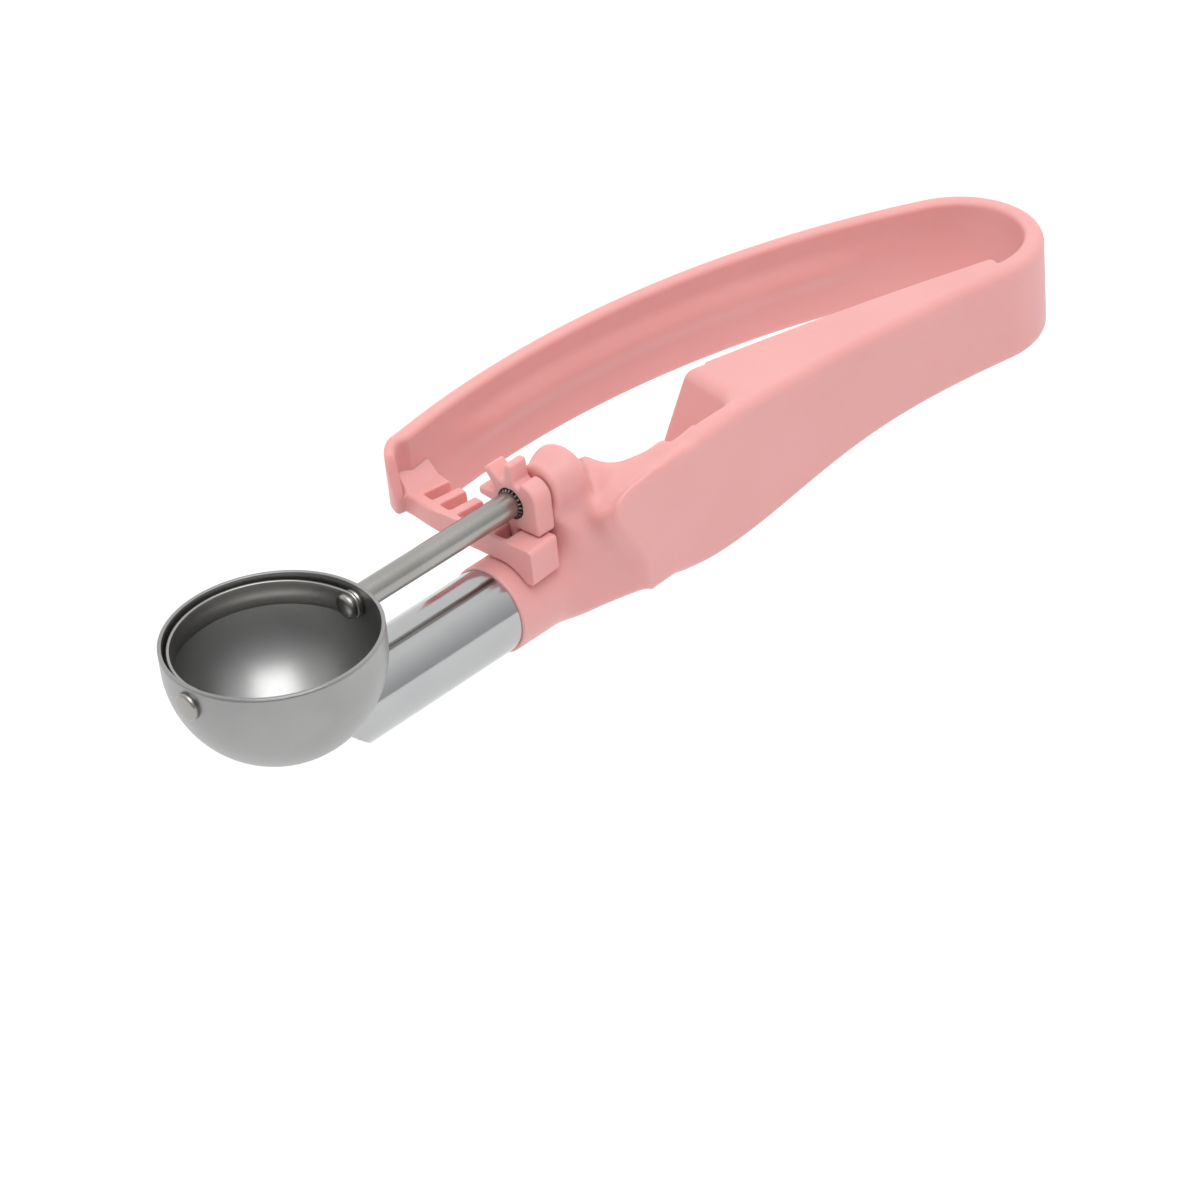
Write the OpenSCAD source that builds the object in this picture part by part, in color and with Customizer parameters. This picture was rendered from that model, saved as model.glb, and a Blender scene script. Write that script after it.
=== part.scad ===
// Squeeze-handle disher with a 38 mm bowl.
// The far bar of the handle loop is squeezed: its rack turns the pinion on the
// blade rod, and the scraper blade sweeps half a turn through the bowl.
// Origin: centre of the bowl's sphere, on the rod's axis.
// +X runs along the rod to the handle, +Z points out of the bowl's mouth.

/* [Bowl] */
// Outer radius of the bowl
bowl_r = 19; // [17:0.5:19]
// Wall of the bowl
bowl_wall = 0.7; // [0.5:0.1:1]
// Height of the rim above the centre of the sphere
rim_h = 3.8; // [3.6:0.2:6]

/* [Scraper blade] */
// Width of the blade strip
blade_w = 4.8; // [3.6:0.2:5.2]
// Thickness of the blade strip
blade_t = 0.6; // [0.4:0.1:0.8]
// Running gap between the blade and the bowl
blade_gap = 0.4; // [0.3:0.1:0.6]
// Angle of the blade at rest above the level of the rod
blade_rest = 2; // [0:0.5:3]
// Diameter of the front pivot pin
pivot_d = 2; // [1.6:0.2:2.4]
// Diameter of the head of the front pivot pin
pivot_head_d = 5; // [4.6:0.2:5.4]

/* [Rod and pinion] */
// Diameter of the blade rod
rod_d = 4.76; // [4:0.1:5]
// Length of rod behind the boss
rod_tail = 3.4; // [2:0.2:4]
// Distance from the bowl's centre to the front face of the pinion
pinion_x = 56; // [55:0.5:57]
// Thickness of the pinion along the rod
pinion_t = 4.2; // [3.6:0.2:5]
// Pitch of the rack teeth where they mesh
tooth_pitch = 4.8; // [4.6:0.1:5]
// Height of a pinion tooth outside the pitch circle
tooth_top = 1.8; // [1.5:0.1:1.9]
// Depth of a pinion tooth inside the pitch circle
tooth_root = 1.9; // [1.7:0.1:2]
// Width of a pinion tooth near its tip
tooth_tip_w = 1.5; // [1.2:0.1:1.6]
// Width of a pinion tooth at its root
tooth_root_w = 2.6; // [2.2:0.1:2.8]
// Reach of the stop block to the side of the rod
stop_w = 6.4; // [5.8:0.2:6.6]
// Length of the slope on the stop block's upper edge
stop_slope = 2.2; // [1.8:0.2:2.6]

/* [Shank tube] */
// Outer diameter of the shank tube
tube_d = 15.88; // [14:0.5:16]
// Wall of the shank tube
tube_wall = 1.2; // [0.8:0.1:1.6]
// Distance from the rod's axis down to the tube's axis
tube_drop = 18.15; // [18:0.05:18.6]
// Length of tube held inside the handle
tube_hold = 36; // [28:1:36]
// Distance from the bowl's centre to the slanted cut, on the tube's axis
slant_x = 7.2; // [6.6:0.2:7.8]

/* [Rack] */
// Distance by which the rack's front face stands ahead of the pinion
rack_lead = 5.3; // [4.6:0.1:6]
// Width of the rack along the rod
rack_w = 8.3; // [7.8:0.1:8.6]
// Width of the rail that closes the teeth in front
rack_rail = 2.2; // [1.6:0.1:2.6]
// Height of the rack's tooth tips above the pitch line
rack_top = 1.1; // [0.9:0.1:1.2]
// Width of a tooth gap at the tooth tips
gap_top_w = 3.5; // [3.4:0.1:3.7]
// Width of a tooth gap at its floor
gap_floor_w = 2.5; // [2.4:0.1:2.7]

/* [Handle] */
// Distance from the bowl's centre to the front of the collar
collar_x = 48.3; // [46:0.1:49]
// Wall of the collar round the tube
collar_wall = 0.45; // [0.4:0.05:0.5]
// Height of the handle's top face above the rod's axis
top_h = 4; // [3.5:0.5:4.5]
// Height of the squeeze bar's band
band_h = 18.8; // [16:0.2:19.6]
// Thickness of the squeeze bar's band
band_t = 3.4; // [3:0.1:3.8]
// Distance from the bowl's centre to the centre of the rear bend
bend_x = 168; // [160:1:176]
// Offset of the rear bend to the near side of the rod
bend_off = 7.5; // [6:0.5:9]
// Outer radius of the rear bend
bend_r = 17.1; // [16:0.1:18]
// Distance from the rod's axis to the crown of the squeeze bar
bar_y = 32; // [31:0.5:34]
// Thickness of the near wall of the grip
grip_wall = 4.2; // [3.8:0.1:4.8]
// Distance from the rod's axis to the waist of the near wall
waist_y = 16.3; // [15.5:0.1:17]
// Depth of the palm swell below the rear of the grip
swell_h = 7.4; // [5:0.2:8]
// Radius of the boss round the rod at its crest
boss_r = 6.2; // [5.8:0.1:6.6]
// Distance that the rib stands out from the squeeze bar
rib_out = 1.6; // [1:0.1:2]

/* [Hidden] */
$fn = 96;
steel = [0.72, 0.73, 0.74];
steel_dark = [0.55, 0.55, 0.54];
steel_light = [0.82, 0.83, 0.85];
pink = [0.94, 0.72, 0.72];
pink_deep = [0.92, 0.66, 0.64];
run_gap = 0.05;   // radial play of a pin or shaft in its hole
slide_gap = 0.35; // play between a sliding piece and its neighbour
over = 1;         // overlap that keeps a cut clean

// bowl and blade
bowl_in = bowl_r - bowl_wall;
blade_out = bowl_in - blade_gap;
blade_in = blade_out - blade_t;
blade_end = blade_w / 2 + 0.3;
rod_r = rod_d / 2;
tenon_r = rod_r - 0.9;
shoulder_x = sqrt(blade_out * blade_out - rod_r * rod_r);
tenon_x = blade_in - 0.9;

// pinion and rack: eight tooth places on the full circle
tooth_places = 8;
pitch_r = tooth_pitch * tooth_places / (2 * PI);
tip_r = pitch_r + tooth_top;
root_r = pitch_r - tooth_root;
rack_tip_z = rack_top - pitch_r;
rack_floor_z = -tip_r - slide_gap;
stop_h = pitch_r - rack_top - 0.15;
hub_r = root_r + 0.2;
pinion_end = pinion_x + pinion_t;

// tube, collar and boss
tube_r = tube_d / 2;
collar_r = tube_r + collar_wall;
rack_bottom_z = collar_r - tube_drop + slide_gap;
boss_x = pinion_end + slide_gap;
boss_len = 8;
tail_x = boss_x + boss_len + rod_tail;
tube_end = collar_x + tube_hold;

// loop of the handle, drawn about its arcs
band_bottom = top_h - band_h;
bend_y = -bend_off;
bend_mid = bend_r - band_t / 2;
hinge_x = bend_x + sqrt(bend_mid * bend_mid - bend_y * bend_y);
hinge_a = atan2(-bend_y, hinge_x - bend_x);
hinge_r = band_t / 2 + 0.05;
crown_x = 87;
crown_drop = bar_y - bend_y;
bar_r = ((bend_x - crown_x) * (bend_x - crown_x) + crown_drop * crown_drop
         - bend_r * bend_r) / (2 * (crown_drop - bend_r));
bar_cy = bar_y - bar_r;
bar_a = atan2(bend_y - bar_cy, bend_x - crown_x);
corner_r = 7;
corner_cx = 57.6;
corner_cy = bar_cy + sqrt(pow(bar_r - corner_r, 2) - pow(crown_x - corner_cx, 2));
corner_a = atan2(corner_cy - bar_cy, corner_cx - crown_x);

// rack drawn about the hinge
rack_x = pinion_x - rack_lead;
rack_r1 = hinge_x - rack_x;
rack_r0 = rack_r1 - rack_w;
gap_r1 = rack_r1 - rack_rail;
mesh_x = (pinion_x + rack_x + rack_w) / 2;
mesh_r = hinge_x - mesh_x;
pitch_a = tooth_pitch / mesh_r * 180 / PI;
rack_gaps = 5;
bar_front_z = rack_bottom_z - 0.15;
rib_z = -4.3;
rib_half = 3.7;
block_a0 = -7.9 / mesh_r * 180 / PI;
block_a1 = 14;

// near wall of the grip: a hollow arc that runs into the rear bend
waist_x = 90;
near_cx = bend_x - waist_x;
near_dy = waist_y - bend_off;
near_r = (near_cx * near_cx + near_dy * near_dy - bend_r * bend_r)
         / (2 * (bend_r - near_dy));
near_end_a = atan2(waist_y + near_r - bend_off, near_cx);
near_end_x = bend_x - bend_r * cos(near_end_a);
rear_bottom = -15.6;
swell_x = 92;
swell_front = 22;
swell_len = 32;

function near_y(x) = -waist_y - near_r + sqrt(near_r * near_r - pow(x - waist_x, 2));
function low_z(x) =
    rear_bottom - swell_h * exp(-pow((x - swell_x)
                                     / (x < swell_x ? swell_front : swell_len), 2));

// saddle between the boss and the near wall, and the nose where they meet
nose_x = boss_x + 9;
nose_back = boss_x + 19.5;
nose_bottom = -20.3;
flare_r = 4.2;

// its sections, from the near wall to the boss: y, then the crease, two pulls and
// the ridge, each as x and z
saddle_rows = [
    [near_y(nose_x) + 0.02, boss_x + 12, -14.5, boss_x + 11.5, -7,
     boss_x - 2, 3.4, boss_x + 12.5, 3.6],
    [-14, boss_x + 11.5, -15, boss_x + 9.5, -7, boss_x - 1, 1, boss_x + 11.5, 3.4],
    [-11.5, boss_x + 6, -10, boss_x + 5, -5, boss_x + 1.5, 0, boss_x + 11.5, 3.6],
    [-8, boss_x + 1, -3.5, boss_x + 3, -2.8, boss_x + 6.5, -1.5, boss_x + 11.5, 2],
    [-2.3, boss_x + 1, -3.5, boss_x + 3.5, -3, boss_x + 7.5, -1.5, boss_x + 12, 1.4]];

// far edge of the wedge that fills the palm
wedge_x = 103;
wedge_y = 1.5;
function wedge_far(x) = wedge_y - 0.25 * (x - wedge_x) - 0.00095 * pow(x - wedge_x, 2);

// bar along X between two stations
module rod_x(x0, x1, r) {
    translate([x0, 0, 0])
        rotate([0, 90, 0])
            cylinder(h = x1 - x0, r = r);
}

// part of a ring about a vertical axis at [cx, cy], from angle a0 to a1
module arc_of(cx, cy, a0, a1) {
    translate([cx, cy, 0])
        rotate([0, 0, a0])
            rotate_extrude(angle = a1 - a0, $fn = 180)
                children();
}

// rectangle with rounded corners, given by its low corner and its size
module soft_rect(x, y, w, h, r) {
    k = r * 0.29;
    polygon([[x + r, y], [x + w - r, y], [x + w - k, y + k], [x + w, y + r],
             [x + w, y + h - r], [x + w - k, y + h - k], [x + w - r, y + h],
             [x + r, y + h], [x + k, y + h - k], [x, y + h - r],
             [x, y + r], [x + k, y + k]]);
}

module bowl() {
    color(steel)
        difference() {
            rotate_extrude($fn = 128)
                difference() {
                    union() {
                        intersection() {
                            circle(r = bowl_r);
                            translate([0, -bowl_r])
                                square([bowl_r, bowl_r]);
                        }
                        square([bowl_r, rim_h]);
                    }
                    intersection() {
                        circle(r = bowl_in);
                        translate([0, -bowl_r])
                            square([bowl_r, bowl_r]);
                    }
                    translate([0, -0.001])
                        square([bowl_in, rim_h + over]);
                    translate([-bowl_r, -bowl_r - over])
                        square([bowl_r, 2 * bowl_r + 2 * over]);
                }
            // holes for the front pin and for the rod
            rod_x(-bowl_r - over, -bowl_in + over, pivot_d / 2);
            rod_x(bowl_in - over, bowl_r + over, rod_r + run_gap);
        }
}

module blade_shell() {
    difference() {
        sphere(r = blade_out, $fn = 128);
        sphere(r = blade_in, $fn = 128);
    }
}

module scraper_blade() {
    color(steel_light)
        rotate([blade_rest, 0, 0])
            difference() {
                intersection() {
                    blade_shell();
                    union() {
                        translate([-bowl_r, 0, -blade_w / 2])
                            cube([2 * bowl_r, bowl_r, blade_w]);
                        rod_x(-bowl_r, bowl_r, blade_end);
                    }
                }
                rod_x(-bowl_r, 0, pivot_d / 2 + run_gap);
                rod_x(0, bowl_r, tenon_r);
            }
}

module pivot_pin() {
    color(steel_dark)
        union() {
            rod_x(-bowl_r - 0.2, -blade_in + 0.8, pivot_d / 2);
            // outer head, a low button with an upright stud on it
            translate([-bowl_r, 0, 0])
                rotate([0, -90, 0]) {
                    rotate_extrude()
                        polygon([[0, 0], [pivot_head_d / 2, 0],
                                 [pivot_head_d / 2, 0.2],
                                 [pivot_head_d / 2 - 0.35, 0.4], [0, 0.4]]);
                    linear_extrude(0.85)
                        soft_rect(-0.38 * pivot_head_d, -0.18 * pivot_head_d,
                                  0.76 * pivot_head_d, 0.36 * pivot_head_d,
                                  0.17 * pivot_head_d);
                }
            // inner head behind the blade
            translate([-blade_in + 0.15, 0, 0])
                rotate([0, 90, 0])
                    rotate_extrude()
                        polygon([[0, 0], [pivot_d / 2 + 0.7, 0],
                                 [pivot_d / 2 + 0.6, 0.5], [0, 0.8]]);
        }
}

module blade_rod() {
    spline_n = 18;
    color(steel_dark)
        union() {
            rod_x(shoulder_x, tail_x - 0.5, rod_r);
            translate([tail_x - 0.5, 0, 0])
                rotate([0, 90, 0])
                    cylinder(h = 0.5, r1 = rod_r, r2 = rod_r - 0.5);
            // tenon and riveted head that hold the blade
            rod_x(tenon_x + 0.4, shoulder_x + over, tenon_r);
            translate([blade_in, 0, 0])
                rotate([0, -90, 0])
                    rotate_extrude()
                        polygon([[0, 0], [tenon_r + 0.8, 0],
                                 [tenon_r + 0.7, 0.4], [tenon_r, 0.8], [0, 1]]);
            // splines that drive the pinion
            for (i = [0 : spline_n - 1])
                rotate([i * 360 / spline_n, 0, 0])
                    translate([pinion_x - 1.2, -0.2, rod_r - 0.3])
                        cube([pinion_t + 0.9, 0.4, 0.45]);
        }
}

// tooth that points along +Y of its own plane
module tooth_2d() {
    tw = tooth_tip_w / 2;
    rw = tooth_root_w / 2;
    polygon([[-rw, root_r - 1.2], [-rw, root_r], [-tw - 0.28, pitch_r + 0.2],
             [-tw, tip_r - 0.35], [-tw + 0.35, tip_r], [tw - 0.35, tip_r],
             [tw, tip_r - 0.35], [tw + 0.28, pitch_r + 0.2], [rw, root_r],
             [rw, root_r - 1.2]]);
}

// pinion along +Z from its front face, with plane Y pointing up
module pinion_solid() {
    union() {
        cylinder(h = pinion_t, r = hub_r);
        for (a = [0 : 4])
            rotate([0, 0, -180 + a * 45])
                linear_extrude(pinion_t)
                    tooth_2d();
        // stop block on the side away from the teeth
        linear_extrude(pinion_t)
            polygon([[-stop_w, -stop_h], [0.4, -stop_h], [0.4, stop_h],
                     [stop_slope - stop_w, stop_h],
                     [0.32 * stop_slope - stop_w, stop_h - 0.32 * stop_slope],
                     [-stop_w, stop_h - stop_slope]]);
    }
}

module pinion() {
    color(pink)
        difference() {
            translate([pinion_x, 0, 0])
                rotate([90, 0, 90])
                    pinion_solid();
            rod_x(pinion_x - over, pinion_end + over, rod_r + 0.15);
            rod_x(pinion_x - over, pinion_x + 0.5, rod_r + 0.45);
        }
}

module at_tube() {
    translate([0, 0, -tube_drop])
        children();
}

// everything in front of the slanted cut that closes the tube
module tube_cut() {
    translate([slant_x, -bowl_r, -tube_drop])
        rotate([0, -45, 0])
            translate([-60, 0, -60])
                cube([60, 2 * bowl_r, 120]);
}

module shank_tube() {
    color(steel_light)
        difference() {
            union() {
                difference() {
                    at_tube()
                        rod_x(0, tube_end, tube_r);
                    at_tube()
                        rod_x(-over, tube_end + over, tube_r - tube_wall);
                }
                // wall that closes the slanted end
                intersection() {
                    at_tube()
                        rod_x(0, bowl_r + 2, tube_r - tube_wall / 2);
                    translate([tube_wall * sqrt(2), 0, 0])
                        tube_cut();
                }
            }
            tube_cut();
            sphere(r = bowl_r, $fn = 128);
        }
}

// bead where the tube is welded to the bowl
module shank_weld() {
    bead = 0.6;
    color(steel_dark)
        difference() {
            intersection() {
                at_tube()
                    rod_x(0, bowl_r + 2, tube_r + bead);
                sphere(r = bowl_r + bead, $fn = 128);
            }
            sphere(r = bowl_r, $fn = 128);
            at_tube()
                rod_x(-over, bowl_r + 3, tube_r);
            tube_cut();
        }
}

// round housing of the tube, from the front ring to its closed end
module collar() {
    at_tube()
        rotate([0, 90, 0])
            rotate_extrude()
                polygon([[0, collar_x], [collar_r - 0.2, collar_x],
                         [collar_r, collar_x + 0.2], [collar_r, boss_x],
                         [collar_r + 0.25, boss_x + 3], [collar_r + 0.8, boss_x + 8],
                         [collar_r + 0.9, tube_end], [collar_r - 0.4, tube_end + 2.6],
                         [collar_r - 2.4, tube_end + 3.6], [0, tube_end + 3.6]]);
}

// round boss that carries the rod, crowned, and sloping down behind its crest
module boss() {
    n = 28;
    skin([for (p = [[0, 4.1], [0.3, 4.7], [0.9, 4.95], [2.2, boss_r - 1.1],
                    [4, boss_r - 0.4], [5.2, boss_r - 0.05], [6, boss_r],
                    [6.8, boss_r - 0.5], [8, boss_r - 1.8], [9.2, boss_r - 3.2],
                    [10.4, boss_r - 4.2]])
        [for (i = [0 : n - 1])
            [boss_x + p[0], -2.6 - p[1] * cos(i * 360 / n), 1.2 + p[1] * sin(i * 360 / n)]]]);
    // web that stands on the collar
    translate([boss_x + 0.9, -5.6, -13])
        cube([8.4, 8, 11.3]);
}

// curve through equal rows of numbers, at u rows from the first
function spline(rows, u) =
    let (m = len(rows) - 1, i = min(m - 1, floor(u)), t = u - i,
         a = rows[max(0, i - 1)], b = rows[i], c = rows[i + 1], d = rows[min(m, i + 2)])
    0.5 * (2 * b + (c - a) * t + (2 * a - 5 * b + 4 * c - d) * t * t
           + (3 * b - a - 3 * c + d) * t * t * t);

// point at t on the curve from the crease to the ridge, moved in by g
function swell_point(r, t, g) =
    let (s = 1 - t,
         p = [[r[1], r[2]], [r[3], r[4]], [r[5], r[6]], [r[7], r[8]]],
         q = s * s * s * p[0] + 3 * s * s * t * p[1] + 3 * s * t * t * p[2] + t * t * t * p[3],
         d = s * s * (p[1] - p[0]) + 2 * s * t * (p[2] - p[1]) + t * t * (p[3] - p[2]))
    q + g * [d[1], -d[0]] / norm(d);

// upright section of the saddle: foot, curve from the crease to the ridge, and back
function saddle_ring(u, g) =
    let (r = spline(saddle_rows, u), w = max(0, 1 - u / 2),
         top = r[0] < -12.1 ? top_h - 0.02 - g : r[8] + 0.1)
    [for (q = concat([[nose_back + 2, nose_bottom + g], [r[1] + 2.4 + g, nose_bottom + g],
                      [r[1] + 0.9 + g, nose_bottom + 1.4 + g]],
                     [for (i = [0 : 10]) swell_point(r, i / 10, g)],
                     [[nose_back + 2, top]]))
        [q[0], r[0] + w * (near_y(q[0]) - near_y(nose_x)), q[1]]];

// rounded hollow scooped along three balls [x behind the boss's face, y, z, r]
module scoop(balls) {
    hull()
        for (b = balls)
            translate([boss_x + b[0], b[1], b[2]])
                sphere(r = b[3], $fn = 32);
}

// saddle that runs from the collar and the boss into the near wall
module saddle() {
    difference() {
        skin(concat(
            // its end, closed inside the boss's web
            [[for (q = saddle_ring(4, 0))
                [0.2 * q[0] + 0.8 * (boss_x + 5.5), -1.1, 0.2 * q[2] - 4.8]]],
            [for (q = [[4, 0], [3.75, 0], [3.5, 0], [3.25, 0], [3, 0], [2.75, 0],
                       [2.5, 0], [2.25, 0], [2, 0], [1.75, 0], [1.5, 0], [1.25, 0],
                       [1, 0], [0.5, 0], [0.16, 0.47], [0, 1.6]])
                saddle_ring(q[0], q[1])]));
        // round pocket behind the ridge
        translate([boss_x + 17.8, -5.8, -9.2])
            linear_extrude(20) {
                circle(r = 6.6);
                translate([-6.6, 0])
                    square([20, 12]);
                translate([0, -7.4])
                    square([14, 12]);
            }
    }
}

// flare that runs out of the collar under the near wall
module lower_flare() {
    hull() {
        at_tube()
            rod_x(boss_x + 0.5, boss_x + 1, collar_r - 0.02);
        for (p = [[15.5, -18], [24.4, -17.6]])
            translate([boss_x + p[0], flare_r - waist_y, p[1]])
                sphere(r = flare_r, $fn = 32);
        at_tube()
            rod_x(tube_end - 2, tube_end - 1, collar_r + 0.4);
    }
}

// rounded section of a wall: outer edge at p, inward direction n, thickness t,
// from z0 to z1, edge radii ro outside and ri inside, and a rib on the inner face
function wall_ring(p, n, t, z0, z1, ro, ri, rib) =
    let (ko = 0.29 * ro, ki = 0.29 * ri, zr = rib_z, h = rib_half,
         s = [[0, z0 + ro], [0, z1 - ro], [ko, z1 - ko], [ro, z1],
              [t - ri, z1], [t - ki, z1 - ki], [t, z1 - ri],
              [t, zr + h], [t + 0.6 * rib, zr + 0.6 * h],
              [t + rib, zr + 0.15 * h], [t + rib, zr - 0.15 * h],
              [t + 0.6 * rib, zr - 0.6 * h], [t, zr - h],
              [t, z0 + ri], [t - ki, z0 + ki], [t - ri, z0],
              [ro, z0], [ko, z0 + ko]])
    [for (q = s) [p[0] + q[0] * n[0], p[1] + q[0] * n[1], q[1]]];

// outer edge point and inward direction on an arc at angle a
function arc_p(cx, cy, r, a) = [cx + r * cos(a), cy + r * sin(a)];
function arc_n(a) = [-cos(a), -sin(a)];

// value that eases from v0 to v1 as x goes from x0 to x1
function ease(x, x0, x1, v0, v1) =
    let (u = min(1, max(0, (x - x0) / (x1 - x0))))
    v0 + (v1 - v0) * u * u * (3 - 2 * u);

// skin through equal rings of points, closed by both end rings
module skin(rings) {
    n = len(rings[0]);
    m = len(rings);
    polyhedron(
        points = [for (r = rings) each r],
        faces = concat(
            [[for (j = [n - 1 : -1 : 0]) j]],
            [for (i = [0 : m - 2], j = [0 : n - 1])
                [i * n + j, i * n + (j + 1) % n, (i + 1) * n + (j + 1) % n]],
            [for (i = [0 : m - 2], j = [0 : n - 1])
                [i * n + j, (i + 1) * n + (j + 1) % n, (i + 1) * n + j]],
            [[for (j = [0 : n - 1]) (m - 1) * n + j]]));
}

// near wall and rear bend, one wall from the saddle round to the hinge
module near_wall() {
    steps = 22;
    turns = 14;
    x0 = nose_back - 6;
    a0 = -180 + near_end_a;
    skin(concat(
        [for (i = [0 : steps])
            let (x = x0 + (near_end_x - x0) * i / steps,
                 b = asin((x - waist_x) / near_r))
            wall_ring([x, near_y(x)], [sin(b), cos(b)], grip_wall,
                      low_z(x), top_h, 2, 1, 0)],
        [for (i = [1 : turns])
            let (a = a0 + (hinge_a - a0) * i / turns)
            wall_ring(arc_p(bend_x, bend_y, bend_r, a), arc_n(a),
                      ease(i, 0, 9, grip_wall, band_t),
                      ease(i, 0, turns, low_z(near_end_x), band_bottom), top_h,
                      ease(i, 0, turns, 2, 1.1), 1, 0)]));
}

// palm wedge between the near wall and the finger opening
module wedge() {
    x1 = bend_x - 3;
    xs = [for (i = [0 : 16]) wedge_x - 14 + (x1 - wedge_x + 14) * i / 16];
    difference() {
        intersection() {
            translate([0, 0, -60])
                linear_extrude(60 + top_h)
                    polygon(concat(
                        [for (x = xs) [x, wedge_far(x)]],
                        [for (i = [16 : -1 : 0]) [xs[i], near_y(xs[i]) + grip_wall - 0.6]]));
            rotate([90, 0, 0])
                translate([0, 0, -bar_y])
                    linear_extrude(2 * bar_y)
                        polygon(concat(
                            [[x1 + 5, top_h], [xs[0] - 1, top_h]],
                            [[xs[0] - 1, low_z(xs[0]) + 0.8]],
                            [for (x = xs) [x, low_z(x) + 0.8]],
                            [[x1 + 5, low_z(x1) + 0.8]]));
        }
        // leaning front face
        translate([wedge_x, wedge_y, top_h])
            rotate([0, 0, -10])
                rotate([0, 26, 0])
                    translate([-60, -40, -60])
                        cube([60, 60, 90]);
    }
}

module handle_grip() {
    color(pink)
        difference() {
            union() {
                collar();
                boss();
                lower_flare();
                wedge();
                difference() {
                    union() {
                        saddle();
                        near_wall();
                    }
                    // groove along the top of the near wall
                    scoop([[28, -15.2, 6, 1.9], [16.4, -14.9, 4.3, 1.9],
                           [8, -13.4, 2.6, 2.4]]);
                }
            }
            // seat of the hinge: a round groove across the end of the band
            translate([hinge_x, 0, rear_bottom - over])
                cylinder(h = top_h - rear_bottom + 2 * over,
                         r = hinge_r + run_gap);
            // tube socket and rod bore
            at_tube()
                rod_x(collar_x - over, tube_end, tube_r + 0.02);
            rod_x(boss_x - over, tail_x + 4, rod_r + run_gap);
        }
}

// solid of the rack between two radii, two heights and two angles of the hinge
module hinge_sector(r0, r1, z0, z1, a0, a1) {
    n = ceil((a1 - a0) / 1.2);
    translate([0, 0, z0])
        linear_extrude(z1 - z0)
            polygon(concat(
                [for (i = [0 : n]) arc_p(hinge_x, 0, r1, 180 - a0 - (a1 - a0) * i / n)],
                [for (i = [n : -1 : 0])
                    arc_p(hinge_x, 0, r0, 180 - a0 - (a1 - a0) * i / n)]));
}

module rack_gap(a) {
    b = gap_floor_w / 2;
    t = gap_top_w / 2 + (gap_top_w / 2 - b) * over / (rack_tip_z - rack_floor_z);
    translate([hinge_x, 0, 0])
        rotate([0, 0, -a])
            translate([-gap_r1, 0, 0])
                rotate([90, 0, 90])
                    linear_extrude(gap_r1 - rack_r0 + over)
                        polygon([[-b, rack_floor_z], [b, rack_floor_z],
                                 [t, rack_tip_z + over], [-t, rack_tip_z + over]]);
}

// outline that holds the rack's far end inside the bar
module rack_limit() {
    m = band_t / 2;
    translate([0, 0, -20])
        linear_extrude(20)
            polygon(concat(
                [[rack_x - 20, -bar_y], [rack_x + 30, -bar_y]],
                [for (x = [rack_x + 30, 70, 62])
                    [x, bar_cy + sqrt(pow(bar_r - m, 2) - pow(x - crown_x, 2))]],
                [for (a = [corner_a, 120, 150, 180])
                    arc_p(corner_cx, corner_cy, corner_r - m, a)],
                [[rack_x - 20, corner_cy]]));
}

module rack() {
    difference() {
        union() {
            intersection() {
                hinge_sector(rack_r0, rack_r1, rack_bottom_z, rack_tip_z,
                             block_a0, block_a1);
                rack_limit();
            }
            // foot of the end block, hollow where it laps over the collar's side
            difference() {
                hinge_sector(rack_r0 + 0.6, rack_r1 - 0.2, -12, rack_bottom_z + over,
                             block_a0, block_a0 + 2.2);
                at_tube()
                    rod_x(collar_x, boss_x + over, collar_r + 1.4);
            }
        }
        for (i = [0 : rack_gaps - 1])
            rack_gap(i * pitch_a);
    }
}

// squeezed bar: one wall from the hinge along the crown to the front corner
module bar() {
    turns = 7;
    steps = 26;
    bends = 8;
    corner_end = 172;
    skin(concat(
        [for (i = [0 : turns - 1])
            let (a = hinge_a + (bar_a - hinge_a) * i / turns)
            wall_ring(arc_p(bend_x, bend_y, bend_r, a), arc_n(a), band_t,
                      band_bottom, top_h, 1.1, 1.1, 0)],
        [for (i = [0 : steps - 1])
            let (a = bar_a + (corner_a - bar_a) * i / steps,
                 p = arc_p(crown_x, bar_cy, bar_r, a))
            wall_ring(p, arc_n(a), band_t,
                      ease(p[0], 56, 70, bar_front_z, band_bottom), top_h, 1.1, 1.1,
                      rib_out * ease(p[0], 64, 80, 0, 1) * ease(p[0], 150, 172, 1, 0))],
        [for (i = [0 : bends])
            let (a = corner_a + (corner_end - corner_a) * i / bends)
            wall_ring(arc_p(corner_cx, corner_cy, corner_r, a), arc_n(a), band_t,
                      bar_front_z, top_h, 1.1, 1.1, 0)]));
}

module squeeze_arm() {
    color(pink_deep)
        union() {
            // hinge end, round about the hinge's axis
            translate([hinge_x, 0, band_bottom + 0.1])
                rotate_extrude()
                    polygon([[0, 0], [hinge_r - 0.9, 0], [hinge_r, 0.9],
                             [hinge_r, band_h - 1.1], [hinge_r - 0.9, band_h - 0.2],
                             [0, band_h - 0.2]]);
            bar();
            rack();
        }
}

bowl();
scraper_blade();
pivot_pin();
blade_rod();
pinion();
shank_tube();
shank_weld();
handle_grip();
squeeze_arm();
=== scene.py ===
import math

import bpy
import numpy as np
from mathutils import Matrix, Vector


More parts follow.
